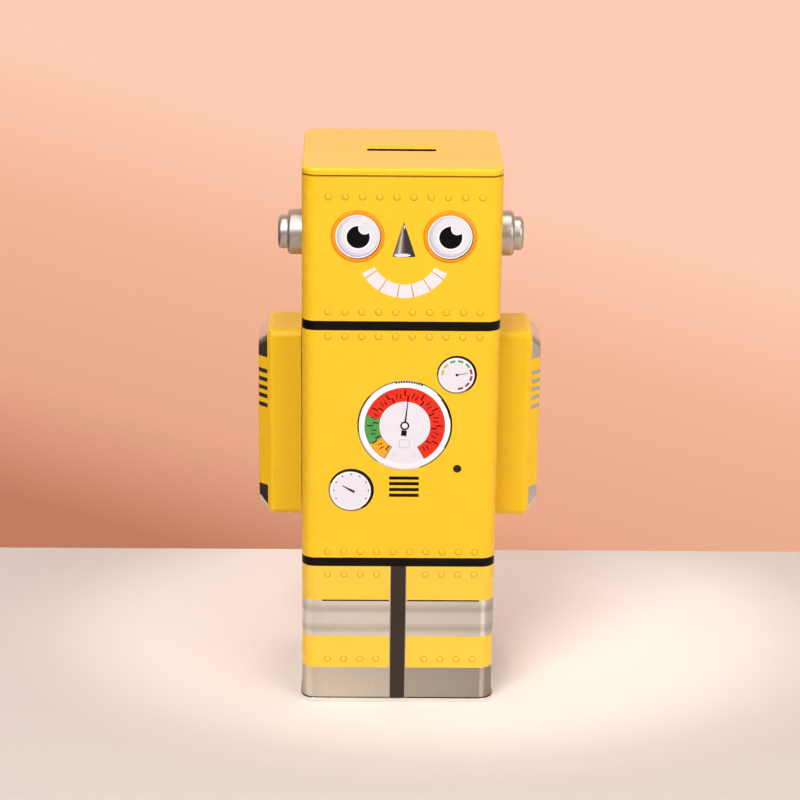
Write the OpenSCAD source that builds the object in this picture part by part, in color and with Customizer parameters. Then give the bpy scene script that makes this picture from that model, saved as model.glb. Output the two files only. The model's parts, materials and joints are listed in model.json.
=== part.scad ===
// A tinplate money box in the shape of a robot. A rolled tube stands on a folded base and is
// closed by a lift-off lid with a coin slot. Two pressed ears are riveted to the head, and two
// hollow arms swing on rivets at the shoulders.
// +Z is up, the face looks along -Y, and the base rim stands on z = 0. Sizes are in millimetres.

/* [Tin body] */
// Width across the face
body_w = 75; // [72:0.5:80]
// Depth from the face to the back
body_d = 67; // [62:0.5:72]
// Outside radius of the four upright corners
corner_r = 5.4; // [5:0.1:7]
// Height of the tube's rolled top edge above the table
body_top = 213.3; // [210:0.1:220]
// Thickness of the tinplate
sheet = 0.3; // [0.26:0.02:0.34]
// Height of the folded rim round the foot
rim_h = 1.8; // [1.4:0.1:2.4]
// How far the folded rim stands out from the tube
rim_out = 0.5; // [0.45:0.05:0.6]
// Height of the base panel inside the rim
panel_z = 4; // [3:0.5:8]
// Width of the folded seam up the back
seam_w = 4; // [3:0.5:5]

/* [Pressed relief] */
// Sideways shift of the rivet rows from the middle of the tube
row_shift = 1; // [-1:0.1:1.2]
// Distance from one pressed rivet to the next
rivet_pitch = 6.35; // [6:0.05:6.4]
// Radius of a pressed rivet
rivet_r = 1.3; // [1:0.1:1.5]
// Height of a pressed rivet
rivet_h = 0.4; // [0.3:0.05:0.45]
// Height of the upper rivet row on the head
head_row_high = 205.4; // [203:0.1:207]
// Height of the lower rivet row on the head
head_row_low = 160.9; // [159:0.1:162]
// Height of the upper rivet row on the chest
chest_row_high = 151.3; // [150:0.1:152]
// Height of the lower rivet row on the chest
chest_row_low = 64; // [63:0.1:68]
// Height of the upper rivet row on the legs
leg_row_high = 54.5; // [52:0.1:56]
// Height of the lower rivet row on the legs
leg_row_low = 18.5; // [17:0.1:24]
// Distance from the middle of the legs to the nearest leg rivet
leg_rivet_in = 9.4; // [8:0.1:9.4]
// How far the eyes and gauges stand out from the face
disc_h = 0.3; // [0.2:0.05:0.4]
// Radius of an eye
eye_r = 10.1; // [8:0.1:11]
// Distance between the two eyes' middles
eye_gap = 34.4; // [30:0.1:36]
// Height of the eyes
eye_z = 190.3; // [188:0.1:192]
// Radius of the large chest gauge
gauge_r = 18.1; // [15:0.1:19]
// Radius of the upper small gauge
gauge_high_r = 7.5; // [6:0.1:8]
// Radius of the lower small gauge
gauge_low_r = 8.6; // [7:0.1:9]

/* [Lid] */
// Height of the lid above the tube's top edge
lid_h = 2.8; // [2.6:0.1:4]
// Radius of the lid's upper edge
lid_edge_r = 1.2; // [1:0.1:1.2]
// Depth of the collar below the tube's top edge
collar_depth = 8; // [6:0.5:10]
// Gap between the collar and the tube's rolled edge
collar_gap = 0.3; // [0.25:0.05:0.5]
// Length of the coin slot
slot_l = 26.4; // [24:0.1:30]
// Width of the coin slot
slot_w = 3.6; // [3:0.1:4]
// Depth of the dished surround of the slot
dish_depth = 0.8; // [0.8:0.1:1.2]
// Width of the sloping edge of the dished surround
dish_slope = 2.4; // [2.4:0.1:2.8]

/* [Ears] */
// Height of the ears' middle
ear_z = 183; // [182:0.5:184]
// Radius of the ear cup
ear_cup_r = 8.7; // [8:0.1:9.5]
// How far the ear cup stands out from the head
ear_cup_h = 6; // [5:0.5:7]
// Radius of the ear cap
ear_cap_r = 6.5; // [6:0.1:7]
// How far the ear cap stands out from the cup
ear_cap_h = 3.6; // [3:0.1:4.5]
// Radius of the ear rivet's shank
ear_shank_r = 1.5; // [1.2:0.1:1.8]

/* [Arms] */
// Height of the arm's upper end
arm_top = 147.3; // [145:0.1:149]
// Length of an arm
arm_l = 75.9; // [70:0.1:80]
// Depth of an arm from front to back
arm_d = 28; // [26:0.5:32]
// How far the arm's outer face is from the middle of the tin
arm_out = 54.7; // [53:0.1:57]
// Gap between the tin and the arm, filled by the spacer washer
arm_gap = 0.6; // [0.5:0.1:1]
// Width of the bevel round the arm's outer face
bevel = 5; // [4:0.1:6]
// Radius of the bevel's edges
bevel_edge_r = 1.5; // [1:0.1:2]
// Radius of the arm's four corners seen from the side
arm_corner_r = 3; // [2:0.5:4]
// Distance from the arm's upper end to its rivet
shoulder_drop = 14; // [12:0.5:16]
// Radius of the arm rivet's shank
arm_shank_r = 2; // [1.8:0.1:2.4]
// Radial clearance of the arm rivet in the tin
running_gap = 0.05; // [0.03:0.01:0.08]

/* [Hidden] */
$fn = 72;
overlap = 0.05;
side_x = body_w / 2;
face_y = body_d / 2;
litho_yellow = [1, 0.82, 0.2];
bare_tin = [0.76, 0.72, 0.67];
ear_grey = [0.78, 0.75, 0.72];
rivet_grey = [0.6, 0.6, 0.62];

// The tube's top edge is curled inwards and comes down again as an inner leg.
curl_r = 0.6;
curl_leg = 2.2;

// The base is folded round the tube's lower edge. The middle of the fold is the middle of the wall.
fold_middle = -sheet / 2;
fold_w = 2 * (rim_out + sheet / 2);
fold_inner_r = 0.05;
tube_foot = 0.5;
seam_depth = 0.6;
seam_groove = 0.15;

// The lid stands this far above the tube's curled edge when it is on.
lid_rest_gap = 0.05;
lid_low = body_top + lid_rest_gap;
lid_top = body_top + lid_h;
hem_r = 0.45;
hem_leg = 1;
collar_x = -(2 * curl_r + collar_gap);
collar_flange = 3;
dish_edge = 0.4;
dish_w = slot_l + 2 * (dish_slope + dish_edge);
dish_d = slot_w + 2 * (dish_slope + dish_edge);
dish_corner_r = dish_d / 2 - 0.1;

// Places of the raised discs on the face, as [sideways, height, radius].
eye_shift = 0.6;
button_r = 1.6;
discs = [
    [eye_shift - eye_gap / 2, eye_z, eye_r],
    [eye_shift + eye_gap / 2, eye_z, eye_r],
    [1.8, 115.8, gauge_r],
    [21.3, 136.4, gauge_high_r],
    [-18.5, 89.5, gauge_low_r],
    [22.1, 98.5, button_r]
];

ear_edge_r = 1.6;
ear_head_r = 3;
ear_head_h = 1.1;
ear_washer_r = 5;
ear_washer_h = 0.5;
ear_tail_r = 2.4;
ear_tail_h = 0.7;
hole_gap = 0.05;

arm_in = side_x + arm_gap;
arm_mid_z = arm_top - arm_l / 2;
shoulder_z = arm_top - shoulder_drop;
spacer_r = 7;
spacer_lift = 0.1;
arm_head_r = 4;
arm_head_h = 1;
spring_r = 5;
spring_inner_r = arm_shank_r + 0.1;
spring_dish = 0.55;
spring_sheet = 0.25;
spring_gap = 0.1;
lock_r = 4.5;
lock_h = 0.5;
arm_tail_r = 2.9;
arm_tail_h = 0.8;
inner_x = side_x - sheet;
spring_x = inner_x - spring_gap;
lock_x = spring_x - spring_dish - spring_sheet;

// Shared shapes

// A convex outline with round corners. The points are the corners' middles, anticlockwise.
module soft_polygon(points, r) {
    polygon(points);
    for (i = [0:len(points) - 1]) {
        p = points[i];
        q = points[(i + 1) % len(points)];
        n = [q[1] - p[1], p[0] - q[0]] / norm(q - p) * r;
        polygon([p, p + n, q + n, q]);
        translate(p) circle(r);
    }
}

function rect_middles(w, d, r) = [
    [-(w / 2 - r), -(d / 2 - r)], [w / 2 - r, -(d / 2 - r)],
    [w / 2 - r, d / 2 - r], [-(w / 2 - r), d / 2 - r]
];

module round_rect(w, d, r) {
    soft_polygon(rect_middles(w, d, r), r);
}

// Runs a flat profile round a rounded rectangle. The profile's x is the distance outwards from
// the rectangle's edge and its y is the height.
module run_round(w, d, r) {
    for (quarter = [0:3]) {
        long = quarter % 2 == 0 ? w : d;
        deep = quarter % 2 == 0 ? d : w;
        rotate([0, 0, 90 * quarter]) {
            translate([-(long / 2 - r), deep / 2, 0])
                rotate([90, 0, 90])
                    linear_extrude(height = long - 2 * r) children();
            translate([long / 2 - r, deep / 2 - r, 0])
                rotate_extrude(angle = 90) translate([r, 0]) children();
        }
    }
}

// A sheet bent through half a turn: two legs joined by a half ring. It opens downwards.
module u_fold(outer_r, leg_a, leg_b) {
    difference() {
        circle(outer_r);
        circle(outer_r - sheet);
        translate([-2 * outer_r, -4 * outer_r]) square([4 * outer_r, 4 * outer_r]);
    }
    translate([outer_r - sheet, -leg_a]) square([sheet, leg_a]);
    translate([-outer_r, -leg_b]) square([sheet, leg_b]);
}

// A pressed rivet seen as a low dome that grows along +Z from z = 0.
module pressed_rivet() {
    ball_r = (pow(rivet_r, 2) + pow(rivet_h, 2)) / (2 * rivet_h);
    rotate_extrude() intersection() {
        translate([0, rivet_h - ball_r]) circle(ball_r);
        translate([0, -overlap]) square([rivet_r, rivet_h + 2 * overlap]);
    }
}

module on_front(x, z) {
    translate([x, -face_y, z]) rotate([90, 0, 0]) children();
}

module rivet_rows() {
    for (z = [head_row_high, head_row_low, chest_row_high, chest_row_low]) {
        for (i = [0:9]) {
            on_front(row_shift + (i - 4.5) * rivet_pitch, z) pressed_rivet();
        }
    }
    for (z = [leg_row_high, leg_row_low]) {
        for (i = [0:3]) {
            for (side = [-1, 1]) {
                on_front(row_shift + side * (leg_rivet_in + i * rivet_pitch), z) pressed_rivet();
            }
        }
    }
}

module raised_discs() {
    for (disc = discs) {
        on_front(disc[0], disc[1])
            translate([0, 0, -overlap]) cylinder(h = disc_h + overlap, r = disc[2]);
    }
}

// Turns a shape drawn round +Z so that it stands out from the tin's right side at a height.
module on_side(z) {
    translate([0, 0, z]) rotate([0, 90, 0]) children();
}

module ring(low, high, outer_r, inner_r) {
    translate([0, 0, low]) difference() {
        cylinder(h = high - low, r = outer_r);
        translate([0, 0, -1]) cylinder(h = high - low + 2, r = inner_r);
    }
}

// A drawn cup with a rounded edge, open towards -Z. Its mouth is at the height low, and its
// face has a hole if hole_r is more than 0.
module drawn_cup(low, high, r, edge_r, hole_r) {
    rotate_extrude() difference() {
        union() {
            translate([0, low]) square([r, high - low - edge_r]);
            translate([0, high - 2 * edge_r]) square([r - edge_r, 2 * edge_r]);
            translate([r - edge_r, high - edge_r]) circle(edge_r);
        }
        translate([-1, low - 1]) square([r - sheet + 1, high - edge_r - low + 1]);
        translate([-1, high - 2 * edge_r])
            square([r - edge_r + 1, 2 * edge_r - sheet]);
        translate([r - edge_r, high - edge_r]) circle(edge_r - sheet);
        translate([-1, low - 1]) square([hole_r + 1, high - low + 2]);
        translate([-2 * r, low - 1]) square([2 * r, high - low + 2]);
    }
}

// A cutter for a round hole through the tin's right side.
module wall_hole(r) {
    translate([0, 0, side_x - 2 * sheet]) cylinder(h = 4 * sheet, r = r);
}

// Side 1 leaves a shape on the right, and side -1 mirrors it to the left.
module on_hand(side) {
    if (side < 0) {
        mirror([1, 0, 0]) children();
    } else {
        children();
    }
}

// Tin body

module wall_profile() {
    translate([-sheet, tube_foot])
        square([sheet, body_top - curl_r - tube_foot]);
    translate([-curl_r, body_top - curl_r]) u_fold(curl_r, overlap, curl_leg);
}

module body_shell() {
    color(litho_yellow) difference() {
        union() {
            run_round(body_w, body_d, corner_r) wall_profile();
            rivet_rows();
            rotate([0, 0, 180]) rivet_rows();
            raised_discs();
            translate([-seam_w / 2, face_y - sheet - seam_depth, panel_z + 2])
                cube([seam_w, seam_depth + overlap, body_top - panel_z - 6]);
        }
        translate([seam_w / 2 - seam_groove, face_y - seam_groove, panel_z])
            cube([2 * seam_groove, 2 * seam_groove, body_top - panel_z - 3]);
        for (side = [-1, 1]) {
            on_hand(side) {
                on_side(ear_z) wall_hole(ear_shank_r + hole_gap);
                on_side(shoulder_z) wall_hole(arm_shank_r + running_gap);
            }
        }
    }
}

// The fold has a flat underside to stand on, between two rounded corners.
module fold_profile() {
    bend_r = sheet + fold_inner_r;
    low_x = fold_middle - fold_w / 2;
    high_x = fold_middle + fold_w / 2;
    difference() {
        union() {
            translate([low_x, bend_r]) square([fold_w, panel_z + sheet - bend_r]);
            translate([low_x + bend_r, 0]) square([fold_w - 2 * bend_r, 2 * bend_r]);
            translate([low_x + bend_r, bend_r]) circle(bend_r);
            translate([high_x - bend_r, bend_r]) circle(bend_r);
        }
        translate([low_x + sheet, sheet]) square([fold_w - 2 * sheet, panel_z + sheet]);
        translate([high_x - 2 * sheet, rim_h]) square([3 * sheet, panel_z + sheet]);
    }
}

module base_pan() {
    color(bare_tin) {
        run_round(body_w, body_d, corner_r) fold_profile();
        inset = fold_w - 2 * fold_middle - 2 * sheet;
        translate([0, 0, panel_z])
            linear_extrude(height = sheet)
                round_rect(body_w - inset, body_d - inset, corner_r - inset / 2);
    }
}

// Lid

module skirt_profile() {
    translate([-lid_edge_r, lid_top - lid_edge_r]) difference() {
        circle(lid_edge_r);
        circle(lid_edge_r - sheet);
        translate([-2 * lid_edge_r, -2 * lid_edge_r]) square([4 * lid_edge_r, 2 * lid_edge_r]);
        translate([-2 * lid_edge_r, -lid_edge_r]) square([2 * lid_edge_r, 3 * lid_edge_r]);
    }
    translate([-sheet, lid_low + hem_r])
        square([sheet, lid_top - lid_edge_r - lid_low - hem_r + overlap]);
    translate([-hem_r, lid_low + hem_r]) mirror([0, 1]) u_fold(hem_r, overlap, hem_leg);
}

module dish_profile() {
    polygon([
        [overlap, lid_top], [overlap, lid_top - sheet], [0, lid_top - sheet],
        [-dish_slope, lid_top - dish_depth - sheet], [-dish_slope - overlap, lid_top - dish_depth - sheet],
        [-dish_slope - overlap, lid_top - dish_depth], [-dish_slope, lid_top - dish_depth],
        [0, lid_top]
    ]);
}

module lid_cap() {
    color(litho_yellow) {
        run_round(body_w, body_d, corner_r) skirt_profile();
        translate([0, 0, lid_top - sheet]) linear_extrude(height = sheet) difference() {
            round_rect(
                body_w - 2 * lid_edge_r + 2 * overlap,
                body_d - 2 * lid_edge_r + 2 * overlap,
                corner_r - lid_edge_r + overlap
            );
            round_rect(dish_w, dish_d, dish_corner_r);
        }
        run_round(dish_w, dish_d, dish_corner_r) dish_profile();
        translate([0, 0, lid_top - dish_depth - sheet]) linear_extrude(height = sheet) difference() {
            round_rect(dish_w - 2 * dish_slope, dish_d - 2 * dish_slope, dish_corner_r - dish_slope);
            round_rect(slot_l, slot_w, 1);
        }
    }
}

module collar_profile() {
    translate([collar_x - sheet, body_top - collar_depth])
        square([sheet, lid_top - sheet - body_top + collar_depth]);
    translate([collar_x - collar_flange, lid_top - 2 * sheet]) square([collar_flange, sheet]);
}

module lid_collar() {
    color(bare_tin) run_round(body_w, body_d, corner_r) collar_profile();
}

// Ears, drawn for the right side of the tin

module ear_cup() {
    color(ear_grey) on_side(ear_z)
        drawn_cup(side_x, side_x + ear_cup_h, ear_cup_r, ear_edge_r, ear_shank_r + hole_gap);
}

module ear_cap() {
    low = side_x + ear_cup_h;
    color(ear_grey) on_side(ear_z)
        drawn_cup(low, low + ear_cap_h, ear_cap_r, ear_edge_r, 0);
}

module ear_rivet() {
    face = side_x + ear_cup_h;
    tail = inner_x - ear_washer_h;
    color(rivet_grey) on_side(ear_z) {
        translate([0, 0, face]) cylinder(h = ear_head_h, r = ear_head_r);
        translate([0, 0, tail]) cylinder(h = face - tail, r = ear_shank_r);
        translate([0, 0, tail - ear_tail_h]) cylinder(h = ear_tail_h, r = ear_tail_r);
    }
}

module ear_washer() {
    color(rivet_grey) on_side(ear_z)
        ring(inner_x - ear_washer_h, inner_x, ear_washer_r, ear_shank_r + hole_gap);
}

// Arms, drawn for the right side of the tin

// Corner middles of a rectangle that has two bevelled corners on its +x side.
function bevel_middles(low_x, high_x, half) = let (
    k = bevel + bevel_edge_r * (sqrt(2) - 1),
    e = bevel_edge_r
) [
    [low_x, -(half - e)], [high_x - k, -(half - e)], [high_x - e, -(half - k)],
    [high_x - e, half - k], [high_x - k, half - e], [low_x, half - e]
];

// The solid block of an arm, with its faces moved inwards by a margin.
module arm_block(margin) {
    low_x = arm_in - 2 * arm_corner_r;
    r = bevel_edge_r - margin;
    intersection() {
        translate([0, 0, arm_mid_z - arm_l])
            linear_extrude(height = 2 * arm_l)
                soft_polygon(bevel_middles(low_x, arm_out, arm_d / 2), r);
        translate([0, arm_d, arm_mid_z]) rotate([90, 0, 0])
            linear_extrude(height = 2 * arm_d)
                soft_polygon(bevel_middles(low_x, arm_out, arm_l / 2), r);
        translate([low_x, 0, arm_mid_z]) rotate([90, 0, 90])
            linear_extrude(height = 2 * arm_out)
                soft_polygon(rect_middles(arm_d, arm_l, arm_corner_r), arm_corner_r - margin);
    }
}

module arm_shell() {
    color(litho_yellow) difference() {
        arm_block(0);
        arm_block(sheet);
        translate([arm_in - 50, -arm_d, arm_mid_z - arm_l]) cube([50, 2 * arm_d, 2 * arm_l]);
    }
}

module arm_back() {
    gap = sheet + overlap;
    color(bare_tin) difference() {
        translate([arm_in, 0, arm_mid_z]) rotate([90, 0, 90])
            linear_extrude(height = sheet)
                round_rect(arm_d - 2 * gap, arm_l - 2 * gap, arm_corner_r - gap);
        on_side(shoulder_z) translate([0, 0, arm_in - 1])
            cylinder(h = 2, r = arm_shank_r + hole_gap);
    }
}

module arm_rivet() {
    low = lock_x - lock_h;
    high = arm_in + sheet;
    color(rivet_grey) on_side(shoulder_z) {
        translate([0, 0, high]) cylinder(h = arm_head_h, r = arm_head_r);
        translate([0, 0, low]) cylinder(h = high - low, r = arm_shank_r);
        translate([0, 0, low - arm_tail_h]) cylinder(h = arm_tail_h, r = arm_tail_r);
    }
}

module arm_spacer() {
    color(rivet_grey) on_side(shoulder_z)
        ring(side_x + spacer_lift, arm_in, spacer_r, arm_shank_r + hole_gap);
}

module arm_spring_washer() {
    color(rivet_grey) on_side(shoulder_z) rotate_extrude() polygon([
        [spring_inner_r, spring_x - spring_dish - spring_sheet],
        [spring_r, spring_x - spring_sheet],
        [spring_r, spring_x],
        [spring_inner_r, spring_x - spring_dish]
    ]);
}

module arm_lock_washer() {
    color(rivet_grey) on_side(shoulder_z)
        ring(lock_x - lock_h, lock_x, lock_r, arm_shank_r + hole_gap);
}

body_shell();
base_pan();
lid_cap();
lid_collar();
on_hand(-1) ear_cup();  // left_ear_cup
on_hand(-1) ear_cap();  // left_ear_cap
on_hand(-1) ear_rivet();  // left_ear_rivet
on_hand(-1) ear_washer();  // left_ear_washer
on_hand(1) ear_cup();  // right_ear_cup
on_hand(1) ear_cap();  // right_ear_cap
on_hand(1) ear_rivet();  // right_ear_rivet
on_hand(1) ear_washer();  // right_ear_washer
on_hand(-1) arm_shell();  // left_arm_shell
on_hand(-1) arm_back();  // left_arm_back
on_hand(-1) arm_rivet();  // left_arm_rivet
on_hand(-1) arm_spacer();  // left_arm_spacer
on_hand(-1) arm_spring_washer();  // left_arm_spring_washer
on_hand(-1) arm_lock_washer();  // left_arm_lock_washer
on_hand(1) arm_shell();  // right_arm_shell
on_hand(1) arm_back();  // right_arm_back
on_hand(1) arm_rivet();  // right_arm_rivet
on_hand(1) arm_spacer();  // right_arm_spacer
on_hand(1) arm_spring_washer();  // right_arm_spring_washer
on_hand(1) arm_lock_washer();  // right_arm_lock_washer
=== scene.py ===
"""Looks of the tin money box: the printed tin skin, lid, base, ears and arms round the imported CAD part.

The tin is given in millimetres, and a mesh is turned into metres as it is made. The stage and the
lamps are in metres.
"""
import json
import math

import bpy
import numpy as np
from mathutils import Matrix, Vector
from mathutils.geometry import delaunay_2d_cdt

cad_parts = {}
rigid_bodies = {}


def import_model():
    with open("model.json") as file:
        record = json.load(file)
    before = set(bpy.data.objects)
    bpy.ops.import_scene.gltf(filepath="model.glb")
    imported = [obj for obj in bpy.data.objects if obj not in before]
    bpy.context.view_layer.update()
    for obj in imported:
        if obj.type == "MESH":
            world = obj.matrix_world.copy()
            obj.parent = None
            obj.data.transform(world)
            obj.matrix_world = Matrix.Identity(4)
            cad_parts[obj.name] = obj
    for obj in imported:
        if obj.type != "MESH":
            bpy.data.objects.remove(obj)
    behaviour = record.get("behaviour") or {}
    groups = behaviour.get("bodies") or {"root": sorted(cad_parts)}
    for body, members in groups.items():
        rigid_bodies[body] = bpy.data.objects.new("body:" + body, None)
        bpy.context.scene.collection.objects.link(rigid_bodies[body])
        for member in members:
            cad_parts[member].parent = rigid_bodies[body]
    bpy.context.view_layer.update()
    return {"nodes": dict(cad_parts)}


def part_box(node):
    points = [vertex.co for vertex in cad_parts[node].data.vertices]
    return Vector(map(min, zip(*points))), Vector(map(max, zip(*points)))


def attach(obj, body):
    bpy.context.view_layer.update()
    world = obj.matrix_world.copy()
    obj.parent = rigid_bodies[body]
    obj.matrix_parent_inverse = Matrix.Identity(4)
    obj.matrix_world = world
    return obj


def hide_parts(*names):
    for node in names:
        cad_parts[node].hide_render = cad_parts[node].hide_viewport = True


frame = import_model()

MM = 0.001


def cad_box(node):
    low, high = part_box(node)
    return np.array(low) / MM, np.array(high) / MM


lid_box = cad_box("lid_cap")
BODY_W = lid_box[1][0] - lid_box[0][0]
BODY_D = lid_box[1][1] - lid_box[0][1]
LID_LOW = lid_box[0][2]
LID_TOP = lid_box[1][2]
BODY_TOP = cad_box("body_shell")[1][2]
CORNER_R = 5.4
SHEET = 0.3

# The tube's top edge is curled in, and its lower edge is held in the base's fold.
CURL_R = 0.6
CURL_LEG = 2.2
TUBE_FOOT = 0.5

# Half of the outline seen from above: half the front, a corner, a side, a corner, half the back.
FRONT_HALF = BODY_W / 2 - CORNER_R
QUARTER = math.pi * CORNER_R / 2
SIDE = BODY_D - 2 * CORNER_R
HALF_ROUND = 2 * FRONT_HALF + 2 * QUARTER + SIDE


# ---------------- meshes

class Skin:
    """Faces with an ink and a normal for each corner. Corners at one place become one vertex."""

    def __init__(self):
        self.ids = {}
        self.coords = []
        self.faces = []
        self.normals = []
        self.inks = []

    def vertex(self, p):
        key = tuple(round(float(c), 4) for c in p)
        if key not in self.ids:
            self.ids[key] = len(self.coords)
            self.coords.append(key)
        return self.ids[key]

    def face(self, corners, normals, ink):
        """Adds a face, turned to agree with its normals. Corners that fall together become one."""
        ids = [self.vertex(c) for c in corners]
        keep = [i for i in range(len(ids)) if ids[i] != ids[i - 1]]
        if len({ids[i] for i in keep}) < 3:
            return
        if self.facing([self.coords[ids[i]] for i in keep], normals[keep[0]], normals[keep[-1]]) < 0:
            keep.reverse()
        self.faces.append([ids[i] for i in keep])
        self.normals.append([normals[i] for i in keep])
        self.inks.append(ink)

    @staticmethod
    def facing(points, normal_a, normal_b):
        """Above 0 if the corners run anticlockwise seen from where the normals point."""
        total = 0.0
        nx, ny, nz = (float(a + b) for a, b in zip(normal_a, normal_b))
        ox, oy, oz = points[0]
        for p, q in zip(points[1:], points[2:]):
            ax, ay, az = p[0] - ox, p[1] - oy, p[2] - oz
            bx, by, bz = q[0] - ox, q[1] - oy, q[2] - oz
            total += nx * (ay * bz - az * by) + ny * (az * bx - ax * bz) + nz * (ax * by - ay * bx)
        return total

    def build(self, name, body, replaced):
        """Makes the mesh, puts it on the body it rides on, and hides the CAD nodes it stands for."""
        mesh = bpy.data.meshes.new(name)
        scaled = [tuple(c * MM for c in p) for p in self.coords]
        mesh.from_pydata(scaled, [], self.faces)
        used = sorted(set(self.inks))
        for ink in used:
            mesh.materials.append(INKS[ink])
        mesh.polygons.foreach_set("material_index", [used.index(i) for i in self.inks])
        mesh.polygons.foreach_set("use_smooth", [True] * len(self.faces))
        mesh.update()
        flat = [tuple(n) for face in self.normals for n in face]
        mesh.normals_split_custom_set(flat)
        thing = bpy.data.objects.new(name, mesh)
        bpy.context.scene.collection.objects.link(thing)
        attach(thing, body)
        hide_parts(*replaced)


def around(s, w=BODY_W, d=BODY_D, r=CORNER_R):
    """Points, outward directions and forward directions on a rounded rectangle seen from above.
    s is the way along it from the middle of the front, positive to the right."""
    s = np.asarray(s, float)
    t = np.abs(s)
    sign = np.where(s < 0, -1.0, 1.0)
    a, q, b = w / 2 - r, math.pi * r / 2, d - 2 * r
    turn = np.clip((t - a) / r, 0, math.pi / 2) + np.clip((t - a - q - b) / r, 0, math.pi / 2)
    x = np.minimum(t, a) + r * np.sin(turn) - np.clip(t - a - 2 * q - b, 0, a)
    y = -(d / 2 - r) + np.clip(t - a - q, 0, b) - r * np.cos(turn)
    out = np.stack([sign * np.sin(turn), -np.cos(turn)], -1)
    ahead = np.stack([np.cos(turn), sign * np.sin(turn)], -1)
    return np.stack([sign * x, y], -1), out, ahead


def loop_places(w, d, r, straight=6, corner=8):
    """The ways along a rounded rectangle at which a ring has points, as around() takes them."""
    a, q, b = w / 2 - r, math.pi * r / 2, d - 2 * r
    marks = [0, a, a + q, a + q + b, a + 2 * q + b, 2 * a + 2 * q + b]
    half = []
    for low, high, n in zip(marks, marks[1:], (straight, corner, straight, corner, straight)):
        half += [low + (high - low) * i / n for i in range(n)]
    return [-t for t in reversed(half[1:])] + half + [marks[-1]]


def box_ring(w, d, r, z, out, up):
    """A ring of points round a rounded rectangle, with normals that lean outwards and upwards."""
    base, away, _ = around(loop_places(w, d, r), w, d, r)
    height = np.full(len(base), z)
    points = np.column_stack([base, height])
    normals = np.column_stack([away * out, np.full(len(base), up)])
    return points, normals


def round_ring(x, y, z, axis_sign, r, h, out, up, count=64):
    """A ring round a sideways axis through (y, z). h runs outwards along x from the place x."""
    turns = np.arange(count) * 2 * math.pi / count
    cos, sin = np.cos(turns), np.sin(turns)
    points = np.column_stack([np.full(count, axis_sign * (x + h)), y + r * cos, z + r * sin])
    normals = np.column_stack([np.full(count, axis_sign * up), out * cos, out * sin])
    return points, normals


def loft(skin, rings, ink):
    """Joins rings that have equal counts of points. Each ring is (points, normals)."""
    for (pa, na), (pb, nb) in zip(rings, rings[1:]):
        count = len(pa)
        for i in range(count):
            j = (i + 1) % count
            skin.face([pa[i], pa[j], pb[j], pb[i]], [na[i], na[j], nb[j], nb[i]], ink)


def profile_arc(cx, cy, r, start, end, steps, inside=False):
    """Points of a profile on an arc as (x, y, normal x, normal y). Angles are in degrees."""
    rows = []
    for i in range(steps + 1):
        a = math.radians(start + (end - start) * i / steps)
        c, s = math.cos(a), math.sin(a)
        k = -1 if inside else 1
        rows.append((cx + r * c, cy + r * s, k * c, k * s))
    return rows


def straight(x0, y0, x1, y1, nx, ny):
    """A straight piece of a profile, as two rows like those of profile_arc."""
    return [(x0, y0, nx, ny), (x1, y1, nx, ny)]


# ---------------- materials

INKS = {}


def linear(rgb):
    """A colour given as it is seen, from 0 to 255, turned into linear light."""
    parts = []
    for v in rgb:
        v = min(max(v / 255, 0), 1)
        parts.append(v / 12.92 if v <= 0.04045 else ((v + 0.055) / 1.055) ** 2.4)
    return (*parts, 1)


def material(name):
    m = bpy.data.materials.new(name)
    m.use_nodes = True
    tree = m.node_tree
    coords = tree.nodes.new("ShaderNodeTexCoord").outputs["Object"]
    return m, tree, tree.nodes["Principled BSDF"], coords


def placed(tree, coords, place=(0, 0, 0), turn=(0, 0, 0), size=(1, 1, 1), kind="TEXTURE"):
    """Coordinates of a pattern that is moved, turned about the axes and sized."""
    mapping = tree.nodes.new("ShaderNodeMapping")
    mapping.vector_type = kind
    mapping.inputs["Location"].default_value = place
    mapping.inputs["Rotation"].default_value = turn
    mapping.inputs["Scale"].default_value = size
    tree.links.new(coords, mapping.inputs["Vector"])
    return mapping.outputs["Vector"]


def gradient(tree, source, kind):
    g = tree.nodes.new("ShaderNodeTexGradient")
    g.gradient_type = kind
    tree.links.new(source, g.inputs["Vector"])
    return g.outputs["Fac"]


def sideways(tree, source):
    split = tree.nodes.new("ShaderNodeSeparateXYZ")
    tree.links.new(source, split.inputs["Vector"])
    return split.outputs["X"]


def noise(tree, source, scale, detail=3):
    n = tree.nodes.new("ShaderNodeTexNoise")
    n.inputs["Scale"].default_value = scale
    n.inputs["Detail"].default_value = detail
    tree.links.new(source, n.inputs["Vector"])
    return n.outputs["Fac"]


def ramp(tree, source, stops):
    r = tree.nodes.new("ShaderNodeValToRGB")
    line = r.color_ramp
    while len(line.elements) < len(stops):
        line.elements.new(0.5)
    for element, (place, colour) in zip(line.elements, stops):
        element.position = place
        element.color = colour
    tree.links.new(source, r.inputs["Fac"])
    return r.outputs["Color"]


def spread(tree, source, low, high, from_low=0.3, from_high=0.7):
    m = tree.nodes.new("ShaderNodeMapRange")
    m.inputs["From Min"].default_value = from_low
    m.inputs["From Max"].default_value = from_high
    m.inputs["To Min"].default_value = low
    m.inputs["To Max"].default_value = high
    tree.links.new(source, m.inputs["Value"])
    return m.outputs["Result"]


def bump(tree, shader, source, strength, distance):
    b = tree.nodes.new("ShaderNodeBump")
    b.inputs["Strength"].default_value = strength
    b.inputs["Distance"].default_value = distance
    tree.links.new(source, b.inputs["Height"])
    tree.links.new(b.outputs["Normal"], shader.inputs["Normal"])


def shades(rgb, depth):
    return [tuple(min(255, c * k) for c in rgb) for k in (1 - depth, 1, 1 + depth)]


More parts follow.
